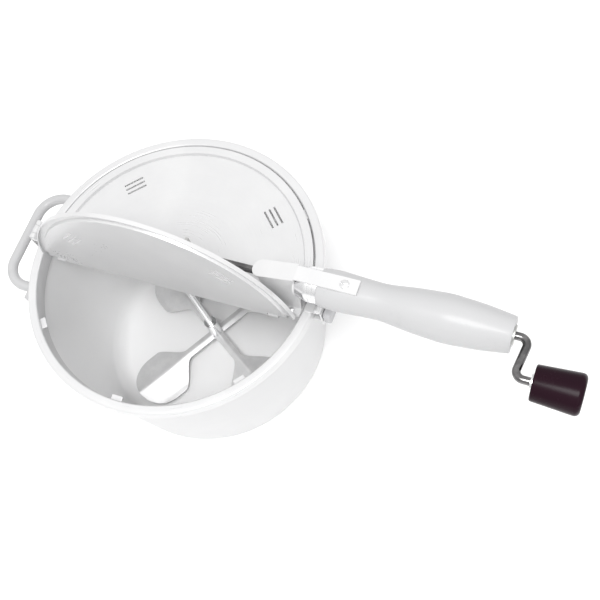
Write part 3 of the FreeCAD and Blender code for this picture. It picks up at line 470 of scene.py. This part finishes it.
# %% Rounded outlines and paths
def rounded(corners, radii, steps=7):
    """Straight runs joined by arcs. With unit directions a and b into and out of a corner C, half-turn h
    and setback s = r tan h, the arc is the weighted curve through C - s a, C, C + s b, whose middle
    weight is cos h."""
    corners = np.asarray(corners, float)
    parts = [corners[:1]]
    share = np.linspace(0, 1, steps)[:, None]
    for before, corner, after, radius in zip(corners, corners[1:], corners[2:], radii):
        into, out = corner - before, after - corner
        into, out = into / np.linalg.norm(into), out / np.linalg.norm(out)
        half = np.arccos(np.clip(into @ out, -1, 1)) / 2
        setback = radius * np.tan(half)
        weights = [(1 - share) ** 2, 2 * share * (1 - share) * np.cos(half), share ** 2]
        points = [corner - setback * into, corner, corner + setback * out]
        parts.append(sum(w * p for w, p in zip(weights, points)) / sum(weights))
    return np.concatenate([*parts, corners[-1:]])


def evenly(path, spacing):
    """The same path with points about one spacing apart, measured along it."""
    lengths = np.concatenate([[0], np.cumsum(np.linalg.norm(np.diff(path, axis=0), axis=1))])
    at = np.linspace(0, lengths[-1], max(2, int(round(lengths[-1] / spacing)) + 1))
    return np.stack([np.interp(at, lengths, side) for side in path.T], -1), at


def turned(outline, start, axis, steps):
    """Turns an outline of (distance along the axis, radius) pairs about an axis through a point:
    point = start + distance * axis + radius * (cos t * side + sin t * other)."""
    axis = np.asarray(axis, float)
    side = np.cross(axis, [0.0, 1.0, 0.0] if abs(axis[1]) < 0.9 else [1.0, 0.0, 0.0])
    side /= np.linalg.norm(side)
    other = np.cross(axis, side)
    angle = np.linspace(0, 2 * np.pi, steps, endpoint=False)
    round_it = np.cos(angle)[:, None] * side + np.sin(angle)[:, None] * other
    outline = np.asarray(outline, float)
    return np.asarray(start) + outline[:, :1, None] * axis + outline[:, 1:, None] * round_it


def carried(path, radii, steps):
    """A round section carried along a path that stays in a level plane: point = path + radius *
    (cos t * side + sin t * up), where side is square to the path and level."""
    along = np.gradient(path, axis=0)
    along /= np.linalg.norm(along, axis=1, keepdims=True)
    side = np.cross(along, [0.0, 0.0, 1.0])
    angle = np.linspace(0, 2 * np.pi, steps, endpoint=False)[None, :, None]
    ring = np.cos(angle) * side[:, None, :] + np.sin(angle) * np.array([0.0, 0.0, 1.0])
    return path[:, None, :] + np.asarray(radii)[:, None, None] * ring


def capped(grid, path):
    """The carried grid with a single point at each end, so that the rod is closed."""
    ends = [np.repeat(end[None, None], grid.shape[1], axis=1) for end in (path[0], path[-1])]
    return np.concatenate([ends[0], grid, ends[1]])


def blunt(at, length, radius, round_over):
    """Radii along a rod whose ends are rounded over: a quarter circle at each end, and full between."""
    gap = np.clip(np.minimum(at, length - at) / round_over, 0, 1)
    return radius - round_over * (1 - np.sqrt(1 - (1 - gap) ** 2)) * (gap < 1)

# %% [markdown]
# ## The spun pan
#
# The pan is one disc of sheet, spun over a form and rolled outwards at the mouth. Its whole section, from
# the middle of the base, up the wall, over the rolled bead and back down inside, is a single outline, so
# turning it once gives both walls with the right thickness between them. The bead is part of a circle.

# %% Spun pan
def arc(middle, radius, start, end, steps=13):
    """Part of a circle as (distance, radius) pairs, with angles in degrees from the outward direction."""
    angle = np.radians(np.linspace(start, end, steps))
    return np.stack([middle[0] + radius * np.sin(angle), middle[1] + radius * np.cos(angle)], -1)


PAN_WALL, PAN_CORNER, BEAD = 1.6 * MM, 15.5 * MM, 2.5 * MM
FOOT_RADIUS, MOUTH_RADIUS = 99.3 * MM, 116.0 * MM
pan_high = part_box("pan_bowl")[1]
wall_top = pan_high.z - BEAD
under_bead = wall_top - 2.35 * MM
outside = rounded([(0, 0), (0, FOOT_RADIUS), (under_bead, MOUTH_RADIUS - 0.25 * MM)], [PAN_CORNER], 15)
bead = arc((wall_top, MOUTH_RADIUS + BEAD - PAN_WALL), BEAD, -108, 180, 25)
inside = rounded([(wall_top - 0.3 * MM, MOUTH_RADIUS - PAN_WALL), (PAN_WALL, FOOT_RADIUS - PAN_WALL),
                  (PAN_WALL, 0)], [PAN_CORNER - PAN_WALL], 15)
pan_outline = np.concatenate([outside, bead, inside])
pan = Shell().tube(turned(pan_outline, (0, 0, 0), (0, 0, 1), 256))
pan.piece("spun_pan", pan_finish, "pan_and_lid", "spun_aluminium", "pan_bowl")

# %% [markdown]
# ## The lid ring
#
# The ring is pressed from thinner sheet: a skirt outside the bead, a narrow flat top and a flange that
# drops inside the pan. Its section closes on itself like a tyre's. Pressed sheet has soft bends, and the
# bright line that runs round a real rim is light on such a bend, so every corner of the outline is
# rounded. Eight small tabs hold the doors and the crossbar, and each is a box with softened edges.

# %% Lid ring and its tabs
def soft_box(low, high, sharpness=5.0, steps=24):
    """A box with softened edges: the ball's point (latitude, longitude) with each coordinate raised to the
    power 2 / sharpness, which pushes the ball out towards its box."""
    latitude = np.linspace(-np.pi / 2, np.pi / 2, steps)[:, None]
    longitude = np.linspace(0, 2 * np.pi, 2 * steps, endpoint=False)[None, :]
    ball = np.stack([np.cos(latitude) * np.cos(longitude), np.cos(latitude) * np.sin(longitude),
                     np.sin(latitude) + 0 * longitude], -1)
    ball[[0, -1], :, :2] = 0
    middle, half = (np.asarray(high) + np.asarray(low)) / 2, (np.asarray(high) - np.asarray(low)) / 2
    return middle + half * np.sign(ball) * np.abs(ball) ** (2 / sharpness)


def spin(grid, degrees):
    """Turns points about the upright axis."""
    turn = np.radians(degrees)
    return grid @ np.array([[np.cos(turn), np.sin(turn), 0], [-np.sin(turn), np.cos(turn), 0], [0, 0, 1]])


ring_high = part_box("lid_ring")[1]
ring_top, ring_edge = ring_high.z, ring_high.x
SHEET, SKIRT, FLANGE = 1.2 * MM, 9 * MM, 13 * MM
FLANGE_TOP, FLANGE_FOOT = 112.9 * MM, 111.2 * MM
below_sheet, skirt_foot, flange_foot = ring_top - SHEET, ring_top - SKIRT, ring_top - FLANGE
section = np.array([(skirt_foot, ring_edge), (ring_top, ring_edge), (ring_top, FLANGE_TOP),
                    (flange_foot, FLANGE_FOOT), (flange_foot, FLANGE_FOOT + SHEET),
                    (below_sheet, FLANGE_TOP + SHEET), (below_sheet, ring_edge - SHEET),
                    (skirt_foot, ring_edge - SHEET), (skirt_foot, ring_edge)])
bends = [1.7 * MM, 1.5 * MM, 0.5 * MM, 0.5 * MM, 0.4 * MM, 0.6 * MM, 0.5 * MM]
lid_ring = Shell().ring(turned(rounded(section, bends, 6)[:-1], (0, 0, 0), (0, 0, 1), 256))
TAB_TOP, TAB_START, TAB_END = ring_top - 3.3 * MM, 108.5 * MM, 113 * MM
DOOR_TAB, BAR_TAB = 9 * MM, 22 * MM
tab_widths = {**dict.fromkeys((40, 90, 140, 220, 270, 320), DOOR_TAB), 0: BAR_TAB, 180: BAR_TAB}
for bearing, width in tab_widths.items():
    tab = soft_box((TAB_START, -width / 2, TAB_TOP - SHEET), (TAB_END, width / 2, TAB_TOP), 8, 16)
    lid_ring.tube(spin(tab, bearing))
lid_ring.piece("pressed_lid_ring", lid_finish, "pan_and_lid", "spun_aluminium", "lid_ring")

# %% [markdown]
# ## The long grip
#
# A hand shapes this grip: full where it meets the ferrule, narrow for the forefinger, swelling in the palm
# and tapering to its end. A few measured radii joined by straight lines would show rings, so the line is
# averaged over a short length, which leaves the measured places almost where they were. The rod's bore
# runs through it, a flat is sunk for the bracket's tail, and a faint ridge on each side marks where the
# two halves of the mould met.

# %% Grip
AXIS_HEIGHT, BORE, SEAT, SEAT_DEPTH = 178.9 * MM, 3.8 * MM, 7 * MM, 5 * MM
STATIONS = (0, 10.8, 28.4, 46, 68.5, 91, 113.2, 135.4)
RADII = (15.2, 15.7, 14.2, 13.2, 15.9, 17.8, 16.6, 14.2)
REACH = 10
RIDGE_RISE, RIDGE_SPREAD = 0.012, 0.03
FLAT_DEPTH, FLAT_HALF, FLAT_CLEARANCE = 1.55 * MM, 6.2 * MM, 0.6 * MM
grip_low, grip_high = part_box("handle_grip")
grip_length = grip_high.x - grip_low.x
along = np.linspace(0, grip_length, 150)
measured = np.interp(along, np.array(STATIONS) * MM, np.array(RADII) * MM)
kernel = np.hanning(2 * REACH + 1) / np.hanning(2 * REACH + 1).sum()
onward = measured[-1] + np.arange(1, REACH + 1) * (measured[-1] - measured[-2])
padded = np.concatenate([np.full(REACH, measured[0]), measured, onward])
swell = np.convolve(padded, kernel, "valid") * blunt(along, grip_length, 1.0, 0.12)
skin = np.stack([along, swell], -1)
seat_foot = grip_length - SEAT_DEPTH
hollow = [(grip_length, SEAT), (seat_foot, SEAT), (seat_foot, BORE), (0, BORE)]
grip_grid = turned(np.concatenate([skin, hollow]), (grip_low.x, 0, AXIS_HEIGHT), (1, 0, 0), 200)
outer = grip_grid[:len(skin)]
around = np.arctan2(outer[..., 2] - AXIS_HEIGHT, np.abs(outer[..., 1]))
ridge = 1 + RIDGE_RISE * np.exp(-(around / RIDGE_SPREAD) ** 2)
outer[..., 1] *= ridge
tail_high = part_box("handle_bracket")[1]
flat_height = tail_high.z - FLAT_DEPTH
under_tail = (outer[..., 0] < tail_high.x + FLAT_CLEARANCE) & (np.abs(outer[..., 1]) < FLAT_HALF)
sunk = under_tail & (outer[..., 2] > flat_height)
outer[..., 2] = np.where(sunk, flat_height, outer[..., 2])
Shell().ring(grip_grid).piece("moulded_grip", grip_finish, "pan_and_lid", "pale_grip", "handle_grip")

# %% [markdown]
# ## Ferrule
#
# The ferrule hides the joint between the bracket and the grip. It is turned from tube, with a cone on the
# bracket's side and two fine grooves that catch the light.

# %% Ferrule
ferrule_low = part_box("handle_ferrule")[0]
mm_outline = [(0, 3.8), (0, 10.5), (7.5, 12.8), (9.6, 12.8), (10.0, 12.3), (10.4, 12.8), (13.2, 12.8),
              (13.6, 12.3), (14, 12.8), (17, 12.8), (17, 3.8), (8, 3.8), (0, 3.8)]
bends = np.array([0.5, 1.5, 0.1, 0.1, 0.1, 0.1, 0.1, 0.1, 0.6, 0.1, 0.1]) * MM
ferrule_outline = rounded(np.array(mm_outline) * MM, bends, 5)[:-1]
ferrule = Shell().ring(turned(ferrule_outline, (ferrule_low.x, 0, AXIS_HEIGHT), (1, 0, 0), 96))
ferrule.piece("grooved_ferrule", bright_finish, "pan_and_lid", "bright_steel", "handle_ferrule")

# %% [markdown]
# ## Crank rod and knob
#
# The rod is one length of drawn wire with two bends. Its middle line is three straight runs joined by
# arcs, and a circle is carried along it. The ends are rounded over, as a cropped wire is after tumbling.
# The knob is turned in one outline like the pan, hollow at its end where the push nut sits.

# %% Crank rod
rod_low, rod_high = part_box("crank_rod")
ROD, THROW, FIRST_BEND, SECOND_BEND = 2.9 * MM, 28.5 * MM, 277.3 * MM, 273.4 * MM
corners = [(rod_low.x, 0, AXIS_HEIGHT), (FIRST_BEND, 0, AXIS_HEIGHT), (SECOND_BEND, -THROW, AXIS_HEIGHT),
           (rod_high.x, -THROW, AXIS_HEIGHT)]
rod_path, rod_at = evenly(rounded(corners, [5.5 * MM, 5.5 * MM], 40), 0.9 * MM)
rod_radii = blunt(rod_at, rod_at[-1], ROD, 0.7 * MM)
rod = Shell().tube(capped(carried(rod_path, rod_radii, 28), rod_path))
rod.piece("bent_crank_rod", crank_finish, "crank", "crank_steel", "crank_rod")

# %% Knob
knob_low, knob_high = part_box("crank_knob")
knob_length = knob_high.x - knob_low.x
NARROW, WIDE, RECESS, RECESS_DEPTH, KNOB_BORE = 12.2 * MM, 14.4 * MM, 6.5 * MM, 9 * MM, 2.95 * MM
recess_foot = knob_length - RECESS_DEPTH
knob_corners = [(0, KNOB_BORE), (0, NARROW), (knob_length, WIDE), (knob_length, RECESS),
                (recess_foot, RECESS), (recess_foot, KNOB_BORE), (0, KNOB_BORE)]
knob_outline = rounded(knob_corners, np.array([1.3, 3.6, 0.7, 0.1, 0.1]) * MM, 12)[:-1]
knob = Shell().ring(turned(knob_outline, (knob_low.x, -THROW, AXIS_HEIGHT), (1, 0, 0), 128))
knob.piece("turned_knob", knob_finish, "knob", "dark_knob", "crank_knob")

# %% [markdown]
# ## Helper loop and rivets
#
# A bent bar on the far side takes the second hand. It is made as the rod is, thicker and with wide bends.
# Rivets have low domes: an ellipse's quarter turned about the rivet's own axis, with a short shank behind.

# %% Helper loop
loop_low, loop_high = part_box("helper_handle_loop")
BAR, LOOP_HEIGHT = 4.2 * MM, 127 * MM
half_width = loop_high.y - BAR
corners = [(loop_high.x, -half_width, LOOP_HEIGHT), (loop_low.x + BAR, -half_width, LOOP_HEIGHT),
           (loop_low.x + BAR, half_width, LOOP_HEIGHT), (loop_high.x, half_width, LOOP_HEIGHT)]
loop_path, loop_at = evenly(rounded(corners, [20 * MM, 20 * MM], 30), 1.2 * MM)
loop_radii = blunt(loop_at, loop_at[-1], BAR, 0.8 * MM)
loop = Shell().tube(capped(carried(loop_path, loop_radii, 36), loop_path))
loop.piece("bent_helper_loop", grip_finish, "pan_and_lid", "pale_grip", "helper_handle_loop")


# %% Domed rivets
def dome(place, axis, radius, height, shank=1.5 * MM):
    """A rivet head on a shank: distance = height * sin t and radius * cos t, t from 0 to a quarter turn."""
    angle = np.linspace(0, np.pi / 2, 10)
    cap = np.stack([0.2 * MM + (height - 0.2 * MM) * np.sin(angle), radius * np.cos(angle)], -1)
    cap[-1, 1] = 0
    shape = np.concatenate([[(-shank, 0), (-shank, 0.5 * radius), (0, 0.5 * radius), (0, radius)], cap])
    return turned(shape, place, axis, 40)


HEAD, HEAD_HEIGHT = 3.6 * MM, 1.3 * MM
rivet_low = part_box("helper_handle_rivets")[0]
rivets = Shell()
for across in (-50, -34, 34, 50):
    rivets.tube(dome((rivet_low.x + HEAD_HEIGHT, across * MM, LOOP_HEIGHT), (-1, 0, 0), HEAD, HEAD_HEIGHT))
rivets.piece("domed_handle_rivets", bright_finish, "pan_and_lid", "bright_steel", "helper_handle_rivets")
foot_low, foot_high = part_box("bracket_foot_rivets")
foot_head = (foot_high.x - foot_low.x) / 2
foot_rivets = Shell()
for across in (foot_low.y + foot_head, foot_high.y - foot_head):
    foot = (foot_low.x + foot_head, across, foot_low.z)
    foot_rivets.tube(dome(foot, (0, 0, 1), foot_head, HEAD_HEIGHT, 0.6 * MM))
foot_rivets.piece("domed_foot_rivets", bright_finish, "pan_and_lid", "bright_steel", "bracket_foot_rivets")

# %% [markdown]
# ## The tail screw
#
# A slotted round head holds the bracket's tail to the grip. The head is a dome whose points are pushed
# down wherever they lie within half a slot's width of the middle.

# %% Slotted screw head
screw_low, screw_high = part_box("handle_screw")
screw_middle = (screw_low + screw_high) / 2
SCREW_HEAD, SHANK, SHANK_LENGTH, BRIM, DOME = 3.4 * MM, 1.8 * MM, 7 * MM, 0.4 * MM, 1.0 * MM
SLOT_HALF, SLOT_DEPTH, SLOT_FLOOR = 0.45 * MM, 0.9 * MM, 0.3 * MM
head_foot = screw_high.z - BRIM - DOME
angle = np.linspace(0, np.pi / 2, 40)
cap = np.stack([BRIM + DOME * np.sin(angle), SCREW_HEAD * np.cos(angle)], -1)
cap[-1, 1] = 0
shape = np.concatenate([[(-SHANK_LENGTH, 0), (-SHANK_LENGTH, SHANK), (0, SHANK), (0, SCREW_HEAD)], cap])
head_grid = turned(shape, (screw_middle.x, 0, head_foot), (0, 0, 1), 160)
slot_floor, level = head_foot + SLOT_FLOOR, head_grid[..., 2]
slotted = (np.abs(head_grid[..., 1]) < SLOT_HALF) & (level > slot_floor)
head_grid[..., 2] = np.where(slotted, np.maximum(level - SLOT_DEPTH, slot_floor), level)
screw = Shell().tube(head_grid)
screw.piece("slotted_tail_screw", bright_finish, "pan_and_lid", "bright_steel", "handle_screw")

# %% [markdown]
# ## Stirring blades
#
# Each blade is a strip of sheet that widens from a narrow arm to a paddle and is folded along its middle,
# so corn slides off it. Its two parameters are the distance from the shaft and the share of the way
# across. The width depends on the first alone, and the height falls from the fold towards both edges.

# %% Stirring blades
def ease(value, start, end):
    """0 before start, 1 after end, and 3t2 - 2t3 between."""
    share = np.clip((value - start) / (end - start), 0, 1)
    return share * share * (3 - 2 * share)


ARM_HALF, PADDLE_HALF, RISE, FOOT, BLADE_SHEET = 4.2, 24.0, 9.0, 3.2, 1.2
INNER_END, OUTER_END, NECK, SHOULDER, NOSE, NOSE_LENGTH = 5.2, 87.9, 32, 55, 62, 26


def blade_grid(rows=90, columns=29):
    """In millimetres. Half-width: ARM_HALF on the arm, easing to PADDLE_HALF, then the end of a full
    ellipse. Height: RISE at the fold, falling to nothing at PADDLE_HALF, with the fold softened over a
    millimetre and the paddle's rim turned up a little."""
    out = np.linspace(INNER_END, OUTER_END, rows)[:, None]
    half = ARM_HALF + (PADDLE_HALF - ARM_HALF) * ease(out, NECK, SHOULDER)
    half = half * np.sqrt(1 - np.clip((out - NOSE) / NOSE_LENGTH, 0, 1) ** 2.4)
    across = half * np.linspace(-1, 1, columns)[None, :]
    fold = np.sqrt(across ** 2 + 1.0) - 1.0
    height = FOOT + RISE - RISE * fold / PADDLE_HALF + 0.8 * ease(np.abs(across), 19, PADDLE_HALF)
    top = np.stack([out + 0 * across, across, height + BLADE_SHEET], -1)
    bottom = np.stack([out + 0 * across, across, height], -1)
    ring = np.concatenate([top, bottom[:, ::-1]], 1)
    ends = [ring[[row]].mean(axis=1, keepdims=True).repeat(ring.shape[1], 1) for row in (0, -1)]
    return np.concatenate([ends[0], ring, ends[1]]) * MM


FIRST_BLADE = -122
for number in (1, 2, 3, 4):
    blade = Shell().tube(spin(blade_grid(), FIRST_BLADE + 90 * (number - 1)))
    blade.piece(f"folded_blade_{number}", blade_finish, "stirrer", "stirrer_steel",
                f"stirrer_blade_{number}")

# %% [markdown]
# ## Thumb pads
#
# Each latch has a moulded pad for the thumb. It is a softened box whose outer face carries three ribs, a
# cosine along its height added to the points that face outwards.

# %% Thumb pads
GROOVE_DEPTH = 0.5 * MM
for side, body, outward in (("handle_side", "handle_side_latch", 1), ("far_side", "far_side_latch", -1)):
    low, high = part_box(f"{side}_latch_pad")
    pad = soft_box(low, high, 5.5, 60)
    middle, half = (high.z + low.z) / 2, (high.z - low.z) / 2
    level = (pad[..., 2] - middle) / half
    facing = outward * (pad[..., 0] - (low.x + high.x) / 2) / ((high.x - low.x) / 2)
    inner = ease(facing, 0.6, 0.95) * (1 - ease(np.abs(level), 0.6, 0.85))
    groove = GROOVE_DEPTH * (0.5 - 0.5 * np.cos(level * 3.5 * np.pi)) * inner
    pad[..., 0] -= outward * groove
    Shell().tube(pad).piece(f"{side}_thumb_pad", pad_finish, body, "latch_pad", f"{side}_latch_pad")
